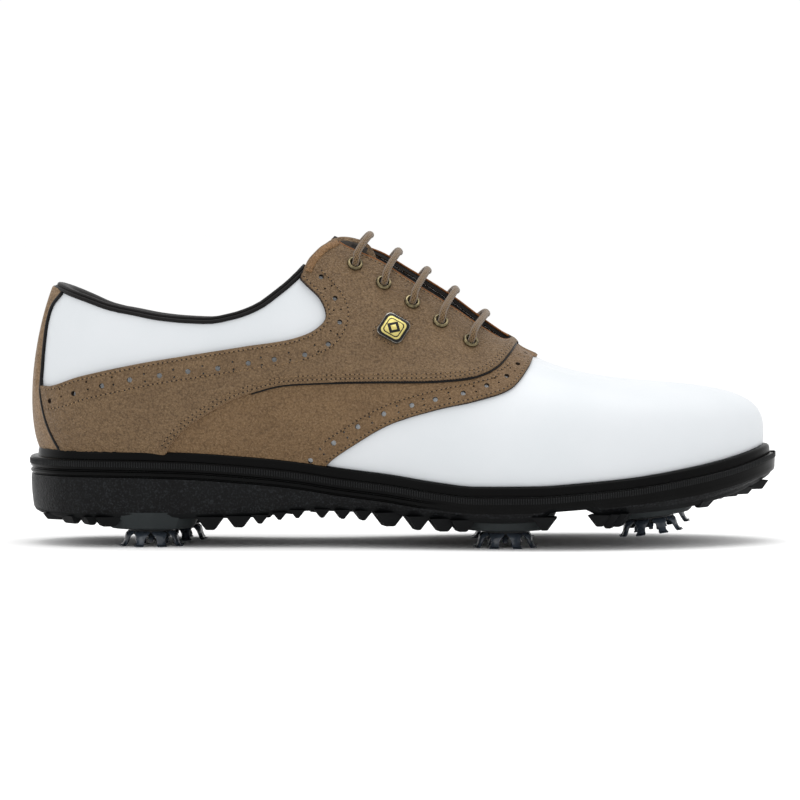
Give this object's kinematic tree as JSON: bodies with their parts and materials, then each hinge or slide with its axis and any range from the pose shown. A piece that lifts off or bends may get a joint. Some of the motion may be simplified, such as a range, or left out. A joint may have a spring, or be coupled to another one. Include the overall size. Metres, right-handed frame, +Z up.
{
  "type": "golf shoe",
  "caption": "Right-foot saddle golf shoe with a leather upper, laced throat, moulded outsole and replaceable twist-lock soft cleats.",
  "frame": {"origin": "on the ground, under the middle of the shoe's footprint box", "axes": "+X from heel to toe, +Y from the lateral to the medial side, +Z up"},
  "size_m": [0.3016, 0.1054, 0.1256],
  "materials": {
    "sole_rubber": "moulded, satin",
    "foam": "foam, matt",
    "shank_steel": "plain",
    "fibre_board": "fibre board",
    "footbed_fabric": "knitted cover over foam",
    "white_leather": "smooth, waterproof finish",
    "stiffener": "fibre sheet",
    "lining_fabric": "spacer mesh",
    "tongue_leather": "padded leather",
    "strap_leather": "pebbled, satin",
    "tan_leather": "pebbled, matt",
    "lower_leather": "pebbled, matt",
    "dark_leather": "rolled edge",
    "eyelet_brass": "antique",
    "lace_cotton": "round waxed lace",
    "badge_metal": "satin rim",
    "badge_gold": null,
    "insert_plastic": "moulded nylon",
    "cleat_plastic": "moulded, soft gloss"
  },
  "bodies": {
    "shoe": {"outsole": "sole_rubber", "midsole": "foam", "shank": "shank_steel", "insole_board": "fibre_board", "vamp": "white_leather", "toe_puff": "stiffener", "heel_counter": "stiffener", "collar_foam": "foam", "lining": "lining_fabric", "heel_strap": "strap_leather", "collar_binding": "dark_leather", "quarter_lateral": "white_leather", "upper_saddle_lateral": "tan_leather", "lower_saddle_lateral": "lower_leather", "piping_lateral": "dark_leather", "eyelet_lateral_1": "eyelet_brass", "eyelet_lateral_2": "eyelet_brass", "eyelet_lateral_3": "eyelet_brass", "eyelet_lateral_4": "eyelet_brass", "eyelet_lateral_5": "eyelet_brass", "quarter_medial": "white_leather", "upper_saddle_medial": "tan_leather", "lower_saddle_medial": "lower_leather", "piping_medial": "dark_leather", "eyelet_medial_1": "eyelet_brass", "eyelet_medial_2": "eyelet_brass", "eyelet_medial_3": "eyelet_brass", "eyelet_medial_4": "eyelet_brass", "eyelet_medial_5": "eyelet_brass", "lace": "lace_cotton", "badge_base": "badge_metal", "badge_face": "badge_gold", "receptacle_heel_lateral": "insert_plastic", "receptacle_heel_medial": "insert_plastic", "receptacle_ball_lateral": "insert_plastic", "receptacle_ball_medial": "insert_plastic", "receptacle_toe_lateral": "insert_plastic", "receptacle_toe_medial": "insert_plastic"},
    "cleat_ball_lateral": {"cleat_ball_lateral": "cleat_plastic"},
    "cleat_ball_medial": {"cleat_ball_medial": "cleat_plastic"},
    "cleat_heel_lateral": {"cleat_heel_lateral": "cleat_plastic"},
    "cleat_heel_medial": {"cleat_heel_medial": "cleat_plastic"},
    "cleat_toe_lateral": {"cleat_toe_lateral": "cleat_plastic"},
    "cleat_toe_medial": {"cleat_toe_medial": "cleat_plastic"},
    "footbed": {"footbed": "footbed_fabric"},
    "tongue": {"tongue": "tongue_leather"}
  },
  "joints": [
    {"name": "heel_lateral_twist", "type": "hinge", "parent": "shoe", "child": "cleat_heel_lateral", "pos_m": [-0.10115, -0.01827, 0.007], "axis": [0, 0, 1], "range_deg": [0, 90]},
    {"name": "heel_medial_twist", "type": "hinge", "parent": "shoe", "child": "cleat_heel_medial", "pos_m": [-0.09265, 0.02022, 0.007], "axis": [0, 0, 1], "range_deg": [0, 90]},
    {"name": "ball_lateral_twist", "type": "hinge", "parent": "shoe", "child": "cleat_ball_lateral", "pos_m": [0.04085, -0.02877, 0.007], "axis": [0, 0, 1], "range_deg": [0, 90]},
    {"name": "ball_medial_twist", "type": "hinge", "parent": "shoe", "child": "cleat_ball_medial", "pos_m": [0.04085, 0.03022, 0.007], "axis": [0, 0, 1], "range_deg": [0, 90]},
    {"name": "toe_lateral_twist", "type": "hinge", "parent": "shoe", "child": "cleat_toe_lateral", "pos_m": [0.09885, -0.01878, 0.0121], "axis": [-0.1219, 0, 0.9925], "range_deg": [0, 90]},
    {"name": "toe_medial_twist", "type": "hinge", "parent": "shoe", "child": "cleat_toe_medial", "pos_m": [0.10385, 0.02523, 0.0126], "axis": [-0.1219, 0, 0.9925], "range_deg": [0, 90]},
    {"name": "footbed_lift", "type": "hinge", "parent": "shoe", "child": "footbed", "pos_m": [0.14035, 0.00622, 0.0378], "axis": [0, 1, 0], "range_deg": [0, 8]},
    {"name": "tongue_press", "type": "hinge", "parent": "shoe", "child": "tongue", "pos_m": [0.05485, 0.00272, 0.065], "axis": [0, -1, 0], "range_deg": [0, 5]}
  ]
}
